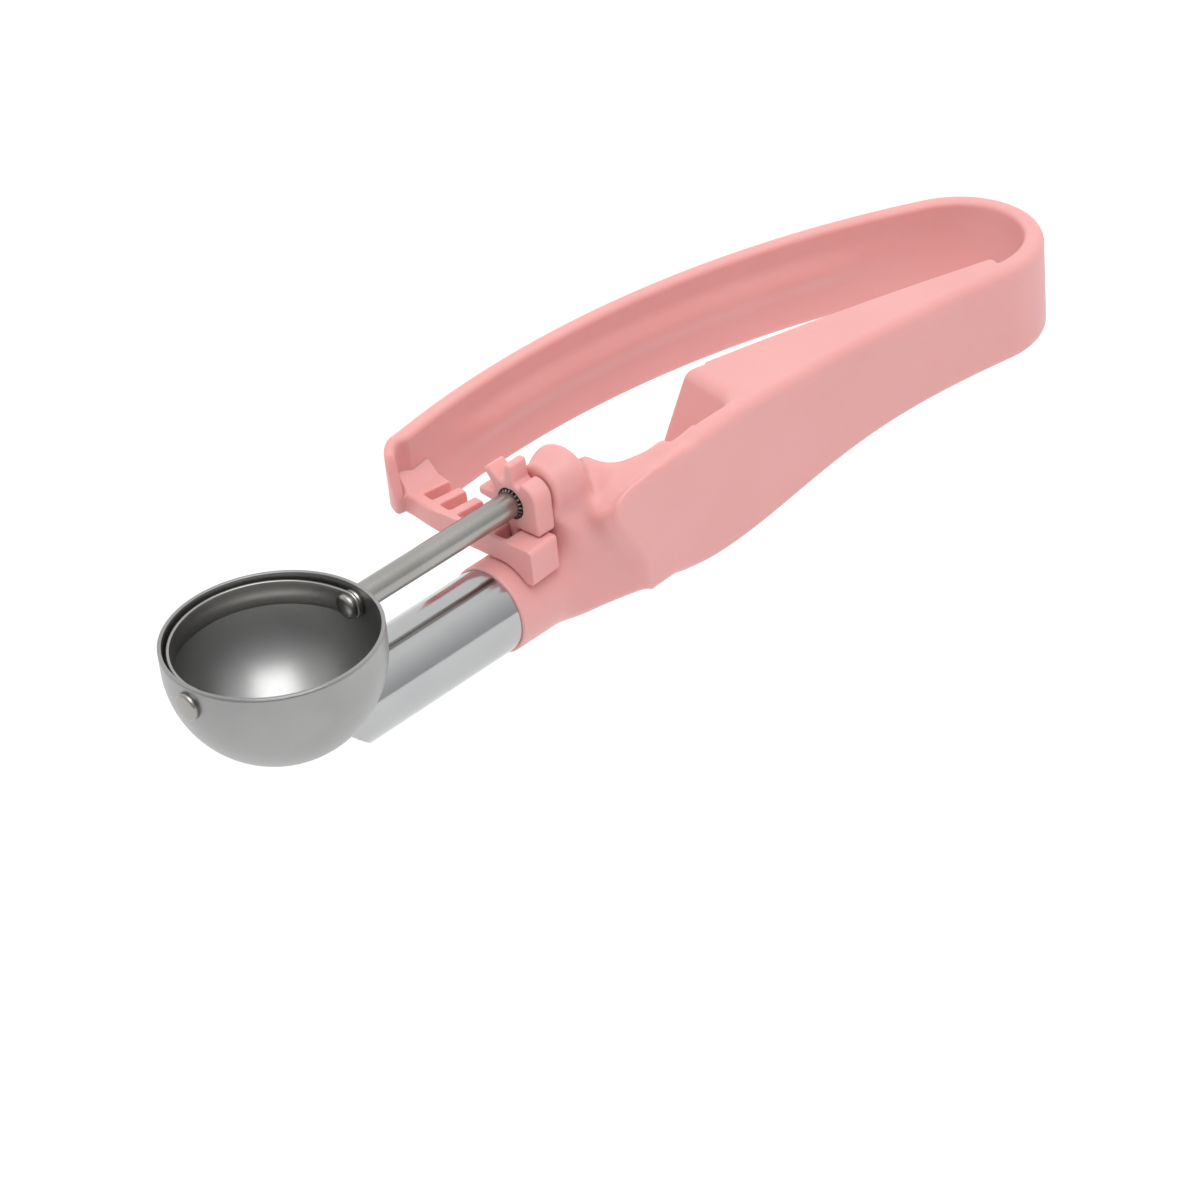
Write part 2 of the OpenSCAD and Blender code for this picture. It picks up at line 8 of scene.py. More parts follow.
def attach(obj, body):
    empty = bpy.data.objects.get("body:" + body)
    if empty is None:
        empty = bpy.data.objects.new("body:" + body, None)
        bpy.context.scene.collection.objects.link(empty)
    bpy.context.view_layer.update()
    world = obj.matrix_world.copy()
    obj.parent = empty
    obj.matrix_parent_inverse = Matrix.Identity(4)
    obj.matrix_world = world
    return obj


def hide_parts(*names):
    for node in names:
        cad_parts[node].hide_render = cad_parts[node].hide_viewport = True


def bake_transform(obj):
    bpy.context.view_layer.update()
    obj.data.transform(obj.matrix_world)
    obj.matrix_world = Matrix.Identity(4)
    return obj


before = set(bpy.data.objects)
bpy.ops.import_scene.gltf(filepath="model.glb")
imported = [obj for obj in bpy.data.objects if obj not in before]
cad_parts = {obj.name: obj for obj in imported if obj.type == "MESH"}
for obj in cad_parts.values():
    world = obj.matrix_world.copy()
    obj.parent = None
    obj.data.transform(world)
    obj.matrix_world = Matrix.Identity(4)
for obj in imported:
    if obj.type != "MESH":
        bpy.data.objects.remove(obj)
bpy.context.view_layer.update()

# Lengths are in millimetres along the frame's axes, and become metres where a mesh is made.
MM = 0.001


def placed(name, data):
    """An object of the data, linked into the scene."""
    o = bpy.data.objects.new(name, data)
    bpy.context.scene.collection.objects.link(o)
    return o


# ---------------------------------------------------------------- camera
camera = bpy.data.cameras.new("camera")
camera.sensor_width = 36
camera.lens = 118.634
camera.clip_start, camera.clip_end = 0.05, 20
camera_object = placed("camera", camera)
# the photo's view, in metres
camera_object.matrix_world = Matrix((
    (0.685356, 0.452234, -0.570764, -0.332687),
    (-0.723055, 0.329528, -0.607127, -0.433503),
    (-0.086481, 0.828792, 0.552834, 0.364300),
    (0, 0, 0, 1)))
bpy.context.scene.camera = camera_object


# ---------------------------------------------------------------- distance fields
def smin(a, b, k):
    """The lesser of two distances, rounded over k where they meet."""
    h = np.clip(0.5 + 0.5 * (b - a) / k, 0, 1)
    return b + (a - b) * h - k * h * (1 - h)


def smax(a, b, k):
    """The greater of two distances, rounded over k where they meet."""
    return -smin(-a, -b, k)


def both(a, b, r):
    """Two solids' common part with an edge of radius r."""
    u, v = np.maximum(a + r, 0), np.maximum(b + r, 0)
    return np.minimum(-r, np.maximum(a, b)) + np.sqrt(u * u + v * v)


def ease(x, x0, x1, v0, v1):
    """Smooth step from v0 at x0 to v1 at x1."""
    u = np.clip((x - x0) / (x1 - x0), 0, 1)
    return v0 + (v1 - v0) * u * u * (3 - 2 * u)


def turn(a):
    """Cosine and sine of an angle in degrees."""
    return math.cos(math.radians(a)), math.sin(math.radians(a))


def polygon_field(px, py, pts):
    """Signed distance to a polygon in a plane."""
    d = np.full(px.shape, 1e9)
    s = np.ones(px.shape)
    for i in range(len(pts)):
        ax, ay = pts[i]
        bx, by = pts[i - 1]
        ex, ey = bx - ax, by - ay
        wx, wy = px - ax, py - ay
        t = np.clip((wx * ex + wy * ey) / (ex * ex + ey * ey), 0, 1)
        d = np.minimum(d, (wx - ex * t) ** 2 + (wy - ey * t) ** 2)
        c1, c2, c3 = py >= ay, py < by, ex * wy > ey * wx
        s = np.where((c1 & c2 & c3) | (~c1 & ~c2 & ~c3), -s, s)
    return s * np.sqrt(d)


def side(p, q, x, y):
    """Signed distance of (x, y) from the line through p and q, positive on the left."""
    dx, dy = q[0] - p[0], q[1] - p[1]
    n = math.hypot(dx, dy)
    return (dx * (y - p[1]) - dy * (x - p[0])) / n


def wall(u, z, t, z0, z1, ro, ri):
    """Rounded section of a wall: u from its outer face inwards, z up."""
    r = np.where(u < t / 2, ro, ri)
    return both(np.maximum(-u, u - t), np.maximum(z0 - z, z - z1), r)


def seg(x, y, z, a, b, ra, rb):
    """Rounded cone from a to b."""
    ax, ay, az = a
    dx, dy, dz = b[0] - ax, b[1] - ay, b[2] - az
    t = ((x - ax) * dx + (y - ay) * dy + (z - az) * dz) / (dx * dx + dy * dy + dz * dz)
    t = np.clip(t, 0, 1)
    return np.sqrt((x - ax - dx * t) ** 2 + (y - ay - dy * t) ** 2
                   + (z - az - dz * t) ** 2) - (ra + (rb - ra) * t)


# ---------------------------------------------------------------- meshes
SLAB = 12                 # grid layers sampled at a time
EVENING = 0.6             # share of the way to the neighbours' mean in each round
LONGEST = 0.6             # longest move onto the level, in grid steps
ROUNDS = 6                # times that a skin is set on its level
PROBE = 0.02              # half the length over which a slope is taken


def level(f, p):
    """Values of the field f at points."""
    return f(p[:, 0], p[:, 1], p[:, 2])


def slope(f, p):
    """Gradient of the field f at points."""
    g = np.empty_like(p)
    for k in range(3):
        a, b = p.copy(), p.copy()
        a[:, k] += PROBE
        b[:, k] -= PROBE
        g[:, k] = (level(f, a) - level(f, b)) / (2 * PROBE)
    return g


def skin_of(f, lo, hi, h):
    """Quads on the zero level of f, from a grid of step h, evened out and set on the level."""
    n = [int(math.ceil((b - a) / h)) + 1 for a, b in zip(lo, hi)]
    ax = [a + h * np.arange(m) for a, m in zip(lo, n)]
    inside = np.zeros(n, bool)
    for i in range(0, n[0], SLAB):
        x, y, z = np.meshgrid(ax[0][i:i + SLAB], ax[1], ax[2], indexing="ij")
        inside[i:i + SLAB] = f(x, y, z) < 0
    # one point for each grid cell that the level crosses
    count = np.zeros([m - 1 for m in n], np.uint8)
    for i in (0, 1):
        for j in (0, 1):
            for k in (0, 1):
                count += inside[i:n[0] - 1 + i, j:n[1] - 1 + j, k:n[2] - 1 + k]
    active = (count > 0) & (count < 8)
    number = np.full(active.shape, -1, np.int64)
    number[active] = np.arange(active.sum())
    cells = np.argwhere(active)
    p = np.stack([ax[k][cells[:, k]] + h / 2 for k in range(3)], 1)
    # one quad for each grid edge that the level crosses
    quads = []
    for k in range(3):
        a = inside.take(range(n[k] - 1), k)
        b = inside.take(range(1, n[k]), k)
        e = np.argwhere(a != b)
        i, j = (k + 1) % 3, (k + 2) % 3
        e = e[(e[:, i] > 0) & (e[:, j] > 0) & (e[:, i] < n[i] - 1) & (e[:, j] < n[j] - 1)]
        start = a[tuple(e.T)]
        di, dj = np.zeros(3, int), np.zeros(3, int)
        di[i], dj[j] = 1, 1
        q = np.stack([number[tuple(c.T)] for c in (e, e - di, e - di - dj, e - dj)], 1)
        q[~start] = q[~start][:, ::-1]
        quads.append(q)
    quads = np.concatenate(quads)
    edges = np.concatenate([quads[:, [0, 1]], quads[:, [1, 2]],
                            quads[:, [2, 3]], quads[:, [3, 0]]])
    degree = np.bincount(edges.ravel(), minlength=len(p))[:, None]
    for r in range(ROUNDS):
        if r:
            total = np.zeros_like(p)
            for k in range(3):
                total[:, k] = (np.bincount(edges[:, 0], p[edges[:, 1], k], len(p))
                               + np.bincount(edges[:, 1], p[edges[:, 0], k], len(p)))
            p = p + EVENING * (total / degree - p)
        for _ in range(2):
            g = slope(f, p)
            move = level(f, p)[:, None] * g / np.maximum((g * g).sum(1), 0.05)[:, None]
            p = p - np.clip(move, -LONGEST * h, LONGEST * h)
    g = slope(f, p)
    return p, quads, g / np.maximum(np.linalg.norm(g, axis=1), 1e-6)[:, None]


def mesh_of(name, points, faces, normals=None):
    """A smooth-shaded object of equal faces, from points in millimetres."""
    faces = np.asarray(faces)
    mesh = bpy.data.meshes.new(name)
    mesh.vertices.add(len(points))
    mesh.vertices.foreach_set("co", (np.asarray(points) * MM).astype(np.float32).ravel())
    mesh.loops.add(faces.size)
    mesh.loops.foreach_set("vertex_index", faces.astype(np.int32).ravel())
    mesh.polygons.add(len(faces))
    mesh.polygons.foreach_set("loop_start",
                              np.arange(len(faces), dtype=np.int32) * faces.shape[1])
    mesh.update(calc_edges=True)
    mesh.validate()
    mesh.shade_smooth()
    if normals is not None:
        mesh.normals_split_custom_set_from_vertices(normals.astype(np.float32))
    return placed(name, mesh)


def solid(name, f, lo, hi, h):
    """The object whose surface is the zero level of f, inside the box from lo to hi."""
    return mesh_of(name, *skin_of(f, lo, hi, h))


def rings(name, sections, close=True):
    """A skin through equal closed rings of points; close puts a fan over both ends."""
    m, n = len(sections), len(sections[0])
    points = [q for s in sections for q in s]
    faces = []
    for i in range(m - 1):
        for j in range(n):
            k = (j + 1) % n
            faces.append((i * n + j, i * n + k, (i + 1) * n + k, (i + 1) * n + j))
    if close:
        for s in (0, m - 1):
            points.append(np.mean(sections[s], axis=0))
            c = len(points) - 1
            for j in range(n):
                a, b = s * n + j, s * n + (j + 1) % n
                faces.append((a, b, c) if s else (b, a, c))
    mesh = bpy.data.meshes.new(name)
    mesh.from_pydata([Vector(q) * MM for q in points], [], faces)
    mesh.validate()
    mesh.shade_smooth()
    return placed(name, mesh)


def lathe(name, profile, turns=96):
    """A body of revolution about X: profile is a list of (x, radius)."""
    a = np.linspace(0, 2 * math.pi, turns, endpoint=False)
    return rings(name, [np.stack([np.full(turns, x), r * np.cos(a), r * np.sin(a)], 1)
                        for x, r in profile])


def arc(cx, cy, r, a0, a1, n):
    """Points on an arc in degrees, for profiles."""
    return [(cx + r * math.cos(math.radians(a0 + (a1 - a0) * i / n)),
             cy + r * math.sin(math.radians(a0 + (a1 - a0) * i / n))) for i in range(n + 1)]


# ---------------------------------------------------------------- sizes shared with part.scad
BOWL_R, BOWL_IN, RIM = 19.0, 18.3, 3.8
BLADE_OUT, BLADE_IN, REST = 17.9, 17.3, math.radians(2)
ROD_R, TAIL_X = 2.38, 71.95
PINION_X, PINION_T, PITCH_R, TIP_R, ROOT_R = 56.0, 4.2, 6.1116, 7.9116, 4.2116
TUBE_R, TUBE_Z = 7.94, -18.15
COLLAR_X, COLLAR_R, BOSS_X = 48.3, 8.39, 60.55
HINGE_X = 181.45
WAIST_X, WAIST_Y, NEAR_R, GRIP_T = 90.0, 16.3, 353.56, 4.2
BEND_X, BEND_Y, BEND_R, BAND_T = 168.0, -7.5, 17.1, 3.4
BAR_X, BAR_Y, BAR_R = 87.0, -142.75, 174.75
CORNER_X, CORNER_R = 57.6, 7.0
CORNER_Y = BAR_Y + math.sqrt((BAR_R - CORNER_R) ** 2 - (BAR_X - CORNER_X) ** 2)
TOP, BAND_Z, FRONT_Z = 4.0, -14.8, -9.56
RACK_X, RACK_W, RAIL, RACK_PITCH = 50.7, 8.3, 2.2, 4.8
TIP_Z, FLOOR_Z, RACK_Z = -5.0116, -8.2616, -9.41
MESH_R = 123.95           # the rack's pitch arc about the hinge
NEAR_C = (WAIST_X, -WAIST_Y - NEAR_R)

# boss round the rod: its rear end, its axis, and its radius in front
BOSS_END, BOSS_Y, BOSS_Z, BOSS_R = 71.4, -2.6, 1.2, 4.95

# rear ends of the tube and the collar inside the handle, and where the tube's 45-degree
# cut passes z = 0
TUBE_END, COLLAR_END, MITRE_X = 84.2, 87.5, -10.95

# palm wedge: its front corner in plan and its end, its far face's slope and curve, and
# its front face's angles
WEDGE_X, WEDGE_Y, WEDGE_END = 103, 1.5, 176
WEDGE_FALL, WEDGE_CURVE = 0.25, 0.00095
FRONT_TURN, FRONT_LEAN = -10, 26

# underside of the near wall: its level, its belly, and its fall towards the far side
LOW_Z, BELLY, BELLY_X, BELLY_FRONT, BELLY_REAR = -15.6, 7.4, 92, 22, 32
UNDER_SLOPE, UNDER_Y = 0.42, -16

# round pocket behind the saddle's ridge: centre, radius and floor
POCKET_X, POCKET_Y, POCKET_R, POCKET_Z = 81.0, -4.0, 6.4, -8.5

# rib along the bar's inner face: how far it stands out, its middle and half its height
RIB_OUT, RIB_Z, RIB_HALF = 1.6, -4.3, 4.6

# groove for the thumb along the near wall's top: x, y, z and radius of its centre line
GROOVE = ((94, -15.0, 6.8, 1.8), (86, -14.6, 5.7, 2.0), (78, -13.9, 5.2, 2.4),
          (72, -13.0, 4.4, 2.8), (66, -12.2, 2.4, 3.4))

# saddle's upright sections from the near wall to the boss: y, then its crease, two pulls
# and ridge as x and z
SADDLE = [(-17.4, 71.6, -14.5, 71.4, -7.0, 55.0, 3.4, 74.0, 3.9),
          (-14.6, 69.0, -13.0, 67.0, -7.0, 57.0, 1.4, 73.0, 3.8),
          (-11.5, 65.0, -9.0, 64.5, -5.0, 61.5, 0.0, 72.0, 3.4),
          (-8.0, 61.7, -4.2, 63.5, -3.2, 67.0, -1.6, 72.5, 1.7),
          (-2.3, 61.5, -3.5, 64.0, -3.0, 68.0, -1.4, 72.9, 0.9)]
SADDLE_LO, SADDLE_HI, SADDLE_STEP = (55, -19.5, -30), (89, 1.0, 9), 0.35
SADDLE_BACK = 84          # the sections' straight back, inside the fill
SADDLE_FAR = 0.4          # where the saddle ends on the far side
FRONT_PART = 95           # saddle, its fill and the collar are in front of this
FLUSH_Y = -12.1           # nearer than this, the saddle is as high as the wall


# ---------------------------------------------------------------- handle
def low_z(x):
    """Height of the near wall's underside."""
    width = np.where(x < BELLY_X, BELLY_FRONT, BELLY_REAR)
    return LOW_Z - BELLY * np.exp(-((x - BELLY_X) / width) ** 2)


def rows_at(rows, u):
    """Smooth curve through rows of numbers, at u rows from the first."""
    i = min(len(rows) - 2, int(u))
    t = u - i
    a, b, c, d = (np.array(rows[min(len(rows) - 1, max(0, i + j))]) for j in (-1, 0, 1, 2))
    return 0.5 * (2 * b + (c - a) * t + (2 * a - 5 * b + 4 * c - d) * t * t
                  + (3 * b - a - 3 * c + d) * t ** 3)


def saddle_grid():
    """Distance to the loft through the sections, sampled and softened."""
    h = SADDLE_STEP
    gx, ys, gz = (np.arange(a, b, h) for a, b in zip(SADDLE_LO, SADDLE_HI))
    us = np.linspace(0, len(SADDLE) - 1, 81)
    uy = [rows_at(SADDLE, u)[0] for u in us]
    px, pz = np.meshgrid(gx, gz, indexing="ij")
    t = np.linspace(0, 1, 22)[:, None]
    s = 1 - t
    vol = []
    for y in ys:
        r = rows_at(SADDLE, np.interp(y, uy, us))
        c = s ** 3 * r[1:3] + 3 * s * s * t * r[3:5] + 3 * s * t * t * r[5:7] + t ** 3 * r[7:9]
        foot = -20.3 - UNDER_SLOPE * max(y - UNDER_Y, 0)
        top = TOP if y < FLUSH_Y else r[8] + 0.1
        pts = [(SADDLE_BACK, foot), (r[1] + 1.8, foot), (r[1] + 0.5, foot + 1.2)] \
            + [tuple(q) for q in c] + [(SADDLE_BACK, top)]
        vol.append(polygon_field(px, pz, pts))
    vol = np.stack(vol, 1)
    for axis in (0, 1, 2):
        for _ in range(4):
            n = vol.shape[axis]
            lo = np.take(vol, [0] + list(range(n - 1)), axis)
            hi = np.take(vol, list(range(1, n)) + [n - 1], axis)
            vol = 0.25 * lo + 0.5 * vol + 0.25 * hi
    return vol, (gx[0], ys[0], gz[0]), h


SADDLE_GRID = saddle_grid()


def saddle_field(x, y, z):
    """Distance to the saddle, between the samples of its grid."""
    vol, org, h = SADDLE_GRID
    q = [np.clip((c - o) / h, 0, n - 1.001) for c, o, n in zip((x, y, z), org, vol.shape)]
    i = [c.astype(int) for c in q]
    f = [c - j for c, j in zip(q, i)]
    out = 0.0
    for a in (0, 1):
        for b in (0, 1):
            for c in (0, 1):
                w = np.abs(1 - a - f[0]) * np.abs(1 - b - f[1]) * np.abs(1 - c - f[2])
                out = out + w * vol[i[0] + a, i[1] + b, i[2] + c]
    return out


def grip_field(x, y, z):
    """Collar, boss, saddle, near wall and palm wedge: one moulding."""
    un = np.hypot(x - NEAR_C[0], y - NEAR_C[1]) - NEAR_R
    # palm wedge: far face in plan, and leaning front face
    dx = x - WEDGE_X
    far = (y - (WEDGE_Y - WEDGE_FALL * dx - WEDGE_CURVE * dx ** 2)) \
        / np.sqrt(1 + (WEDGE_FALL + 2 * WEDGE_CURVE * dx) ** 2)
    ca, sa = turn(FRONT_TURN)
    cb, sb = turn(FRONT_LEAN)
    front = -(cb * (ca * dx + sa * (y - WEDGE_Y)) - sb * (z - TOP))
    wedge = np.maximum(both(far, front, 1.2), x - WEDGE_END)
    # wall and palm wedge in plan, cut by the top face
    plan = np.maximum(smin(un - GRIP_T, wedge, 3.2), 74.5 - x)
    body = both(plan, z - TOP, np.where((front > -4) & (x > 90), 1.8, 1.1))
    # saddle with its pocket, and the fill under it
    near = x < FRONT_PART
    pocket = POCKET_R - np.hypot(np.minimum(x - POCKET_X, 0), np.minimum(y - POCKET_Y, 0))
    saddle = smax(saddle_field(x, y, z), np.minimum(pocket, z - POCKET_Z), 0.9)
    saddle = both(saddle, y - SADDLE_FAR, 1.6)
    body = np.where(near, smin(body, saddle, 0.8), body)
    fill = np.maximum(np.maximum(y + 3, z + 9.5), np.maximum(x - 87, 72 - x))
    body = np.where(near, smin(body, fill, 1.5), body)
    # thumb groove
    cut = None
    for a, b in zip(GROOVE, GROOVE[1:]):
        c = seg(x, y, z, a[:3], b[:3], a[3], b[3])
        cut = c if cut is None else smin(cut, c, 1.2)
    body = np.where(x < 100, smax(body, -cut, 2.6), body)
    # near face and underside
    body = both(body, -un, ease(x, 72, 92, 0.7, 2.0))
    low = low_z(np.maximum(x, 79.5)) \
        - UNDER_SLOPE * np.maximum(y - UNDER_Y, 0) * ease(x, 80, 92, 1, 0)
    body = both(body, low - z, 2.0)
    # boss round the rod, swelling behind the pinion and closing to a dome, and its web
    rb = np.hypot(y - BOSS_Y, z - BOSS_Z)
    rr = BOSS_R + ease(x, 61.5, 66.2, 0, 1.35) - ease(x, 66.2, 71.6, 0, 5.4)
    boss = both((rb - rr) * 0.8, np.maximum(BOSS_X - x, x - BOSS_END), 1.1)
    web = both(np.maximum(61.4 - x, x - 70),
               np.maximum(np.abs(y + 1.6) - 4.0, np.abs(z + 7) - 6), 1.5)
    body = np.where(x < 90, smin(body, smin(boss, web, 2.0), 3.4), body)
    # collar round the tube, filled out to the near wall
    rt = np.hypot(y, z - TUBE_Z)
    collar = both(rt - COLLAR_R - ease(x, 60, 72, 0, 0.8),
                  np.maximum(COLLAR_X - x, x - COLLAR_END), np.where(x > 70, 3.0, 0.3))
    return np.where(near, smin(body, collar, 4.0), body)


def corner_wall(x, y, z):
    """Front corner of the bar, thinner and lower towards its end, and where its middle is."""
    # degrees round the corner's centre: about 100 at the long arc, 172 at the end
    ak = np.degrees(np.arctan2(y - CORNER_Y, x - CORNER_X)) % 360
    uk = CORNER_R + ease(ak, 100, 135, 0, 0.5) - np.hypot(x - CORNER_X, y - CORNER_Y)
    thick = BAND_T - ease(ak, 95, 140, 0, 1.4)
    top = TOP - ease(ak, 112, 150, 0, 1.6) - ease(ak, 142, 178, 0, 7.5)
    low = FRONT_Z + ease(ak, 115, 155, 0, 1.0)
    r = 1.2 - ease(ak, 95, 140, 0, 0.3)
    corner = both(np.maximum(-uk, uk - thick), np.maximum(low - z, z - top), r)
    end = np.radians(ak - 172) * np.maximum(np.hypot(x - CORNER_X, y - CORNER_Y), 1)
    return both(corner, np.where(ak > 300, -end, end), 0.9), uk - thick / 2


def past_corner(x, y):
    """Where the bar's front corner takes over from its long arc."""
    return side((BAR_X, BAR_Y), (CORNER_X, CORNER_Y), x, y) > 0


def loop_solid(x, y, z):
    """The whole loop: grip, rear bend and squeeze bar."""
    near = grip_field(x, y, z)
    # rear bend, from the near wall's section to the bar's
    ub = BEND_R - np.hypot(x - BEND_X, y - BEND_Y)
    ang = np.degrees(np.arctan2(y - BEND_Y, x - BEND_X))
    w = ease(ang, -95, -10, 0, 1)
    low = low_z(167)
    bend = wall(ub, z, GRIP_T + (BAND_T - GRIP_T) * w, low + (BAND_Z - low) * w,
                TOP, 2 - 0.7 * w, 1.1)
    # squeeze bar with the rib on its inner face
    uc = BAR_R - np.hypot(x - BAR_X, y - BAR_Y)
    rib = RIB_OUT * ease(x, 64, 80, 0, 1) * ease(x, 150, 172, 1, 0)
    swell = rib * 0.5 * (1 + np.cos(np.clip((z - RIB_Z) / RIB_HALF, -1, 1) * math.pi))
    low_bar = ease(x, 56, 70, FRONT_Z, BAND_Z)
    bar = wall(uc, z, BAND_T + swell, low_bar, TOP, 1.3, 1.1)
    bar = np.where(past_corner(x, y), corner_wall(x, y, z)[0], bar)
    # each stretch holds on its own side of the lines through the arcs' centres
    d = np.where((y < BEND_Y) & (side(NEAR_C, (BEND_X, BEND_Y), x, y) > 0), near, bend)
    front_half = (y >= BEND_Y) & (side((BAR_X, BAR_Y), (BEND_X, BEND_Y), x, y) > 0)
    mid = ease(x, 90, 150, 12, -2)
    d = np.where(front_half, np.where(y > mid, bar, near), d)
    # the rod's bore
    bore = np.hypot(y, z) - (ROD_R + 0.06)
    return np.where(x < 80, np.maximum(d, -np.maximum(bore, x - (TAIL_X + 0.6))), d)


loop = solid("handle_loop", loop_solid, (47, -26, -28.5), (187, 34, 9),
             0.4)


# ---------------------------------------------------------------- pinion and rack
# tooth's half width and radius, from its foot to its tip
FLANK = ((1.2, 2.6), (1.2, ROOT_R), (0.95, PITCH_R + 0.2), (0.85, TIP_R))
TEETH, TOOTH_ROUND = 5, 0.6

# stop block: its low corner, its low edge's end, and its round shoulder
STOP_Y, STOP_Z, STOP_END = -6.4, -4.8616, -1.0
SHOULDER_Y, SHOULDER_Z, SHOULDER_R = -3.2, 1.6616, 3.2
STOP_ROUND = 0.7

# rack along its pitch arc: end block's end, its underside and where that starts, and the
# corner block's start; then the gaps' half width at the floor and what the tips add
END_S, END_Z, UNDER_S, BLOCK_S = -7.9, -12, 0.5, 20.9
GAP_W, GAP_FLARE = 1.1, 0.3
COLLAR_GAP = 0.45         # between the end block and the collar


def pinion_solid(x, y, z):
    """Five-tooth sector with its stop block, about the rod."""
    rr = np.hypot(y, z)
    d = rr - (ROOT_R + 0.2)
    k = TOOTH_ROUND
    flank = [(w - k, min(r, TIP_R - k)) for w, r in FLANK]
    tooth = [(-w, r) for w, r in flank] + flank[::-1]
    for i in range(TEETH):
        a = math.radians(-180 + 45 * i)
        across = math.cos(a) * y + math.sin(a) * z
        out = -math.sin(a) * y + math.cos(a) * z
        d = smin(d, polygon_field(across, out, tooth) - k, 0.7)
    k = STOP_ROUND
    block = polygon_field(y, z, [(STOP_Y + k, STOP_Z + k), (STOP_END, STOP_Z + k)]
                          + arc(SHOULDER_Y, SHOULDER_Z, SHOULDER_R - k, 90, 180, 12)) - k
    d = smin(d, block, 0.6)
    d = both(d, np.abs(x - PINION_X - PINION_T / 2) - PINION_T / 2, 0.6)
    # the hole is wider in front, where the splines show
    hole = np.where(x < PINION_X + 1.0, 3.0, ROD_R + 0.15)
    return np.maximum(d, hole - rr)


pinion = solid("drive_pinion", pinion_solid, (55.4, -7.2, -8.8), (60.8, 8.8, 8.8), 0.2)


def rack_solid(x, y, z):
    """Rack on arcs about the hinge, with its end block and corner block."""
    r = np.hypot(HINGE_X - x, y)
    s = np.arctan2(y, HINGE_X - x) * MESH_R
    r1, r0 = HINGE_X - RACK_X, HINGE_X - RACK_X - RACK_W
    ring = np.maximum(r0 - r, r - r1)
    # underside: level, and down beside the collar at the end block
    beside = np.maximum(np.maximum(END_Z - z, s - UNDER_S),
                        COLLAR_R + COLLAR_GAP - np.hypot(y, z - TUBE_Z))
    low = np.minimum(RACK_Z - z, beside)
    body = both(ring, np.maximum(low, z - TIP_Z), 0.7)
    # corner block, leaning up to the bar's inner wall
    rise = (z - TIP_Z - 0.66 * (y - 22.3) + 0.12 * (x - 53)) / 1.2
    block = both(both(ring, np.maximum(low, rise), 0.8), BLOCK_S - s, 0.7)
    body = np.minimum(both(body, s - 24, 0.3), block)
    body = both(body, END_S - s, 0.9)
    # ends inside the bar's wall
    wall_k, mid_k = corner_wall(x, y, z)
    uc = BAR_R - np.hypot(x - BAR_X, y - BAR_Y)
    out = np.where(y > CORNER_Y, -mid_k, 1.2 - (x - (CORNER_X - CORNER_R)))
    body = np.maximum(body, np.where(past_corner(x, y), out, 1.7 - uc))
    # fillet towards the bar's corner
    foot = np.maximum(wall_k + 0.08, np.maximum(z + 5.6, y - 27))
    body = np.where(x < 56, smin(body, foot, 2.2), body)
    # gaps between the teeth, wider at the tips
    w = GAP_W + (z - FLOOR_Z) / (TIP_Z - FLOOR_Z) * GAP_FLARE
    for i in range(TEETH):
        si = s - RACK_PITCH * i
        gap = both(both(np.abs(si) - w, FLOOR_Z - z, 0.5), r - (r1 - RAIL), 0.4)
        body = smax(body, -gap, 0.4)
    return body


rack = solid("rack", rack_solid, (49.8, -9.5, -13), (61.5, 31, -1.5), 0.3)


# ---------------------------------------------------------------- bowl and blade
def meridian(r, a0, a1):
    """Profile of a sphere below its centre, from a0 to a1 degrees off the bottom."""
    return [(r * math.sin(math.radians(a)), -r * math.cos(math.radians(a)))
            for a in np.linspace(a0, a1, 60)]


BEVEL, BOWL_TURNS = 0.16, 192
profile = ([(0.0001, -BOWL_R)] + meridian(BOWL_R, 2, 90)
           + [(BOWL_R, z) for z in np.linspace(0.6, RIM - BEVEL, 6)]
           + arc(BOWL_R - BEVEL, RIM - BEVEL, BEVEL, 0, 90, 4)
           + arc(BOWL_IN + BEVEL, RIM - BEVEL, BEVEL, 90, 180, 4)
           + [(BOWL_IN, z) for z in np.linspace(RIM - 0.6, 0.4, 6)]
           + meridian(BOWL_IN, 90, 2) + [(0.0001, -BOWL_IN)])
round_z = np.linspace(0, 2 * math.pi, BOWL_TURNS, endpoint=False)
bowl = rings("bowl_shell",
             [np.stack([r * np.cos(round_z), r * np.sin(round_z), np.full(BOWL_TURNS, z)], 1)
              for r, z in profile], close=False)

# blade strip: a closed section carried along the bowl's inner wall, with round ends
END_R, STRIP_W, STRIP_SWELL, CHAMFER = 2.7, 2.4, 0.3, 0.12
mid_r = (BLADE_OUT + BLADE_IN) / 2
reach = math.degrees(END_R / mid_r)
angles = ([-reach + reach * (1 - math.cos(math.radians(t))) * 0.9 for t in range(0, 90, 9)]
          + list(np.linspace(-0.8, 180.8, 70))
          + [180 + reach - reach * (1 - math.cos(math.radians(t))) * 0.9
             for t in range(81, -1, -9)])
sections = []
for a in angles:
    inner = min(max(0, a), max(0, 180 - a))
    if inner > 0:
        half = STRIP_W + STRIP_SWELL * math.exp(-inner / 5)
    else:
        off = math.radians(max(-a, a - 180)) * mid_r
        half = math.sqrt(max(END_R * END_R - off * off, 1e-4))
    c = min(CHAMFER, half * 0.4)
    section = []
    for v, r in ((-half + c, BLADE_IN), (half - c, BLADE_IN),
                 (half, BLADE_IN + c), (half, BLADE_OUT - c),
                 (half - c, BLADE_OUT), (-half + c, BLADE_OUT),
                 (-half, BLADE_OUT - c), (-half, BLADE_IN + c)):
        b = math.asin(v / r)
        q = Vector((r * math.cos(b) * math.cos(math.radians(a)),
                    r * math.cos(b) * math.sin(math.radians(a)), r * math.sin(b)))
        q.rotate(Matrix.Rotation(REST, 3, "X"))
        section.append(tuple(q))
    sections.append(section)
blade = rings("scraper_strip", sections)

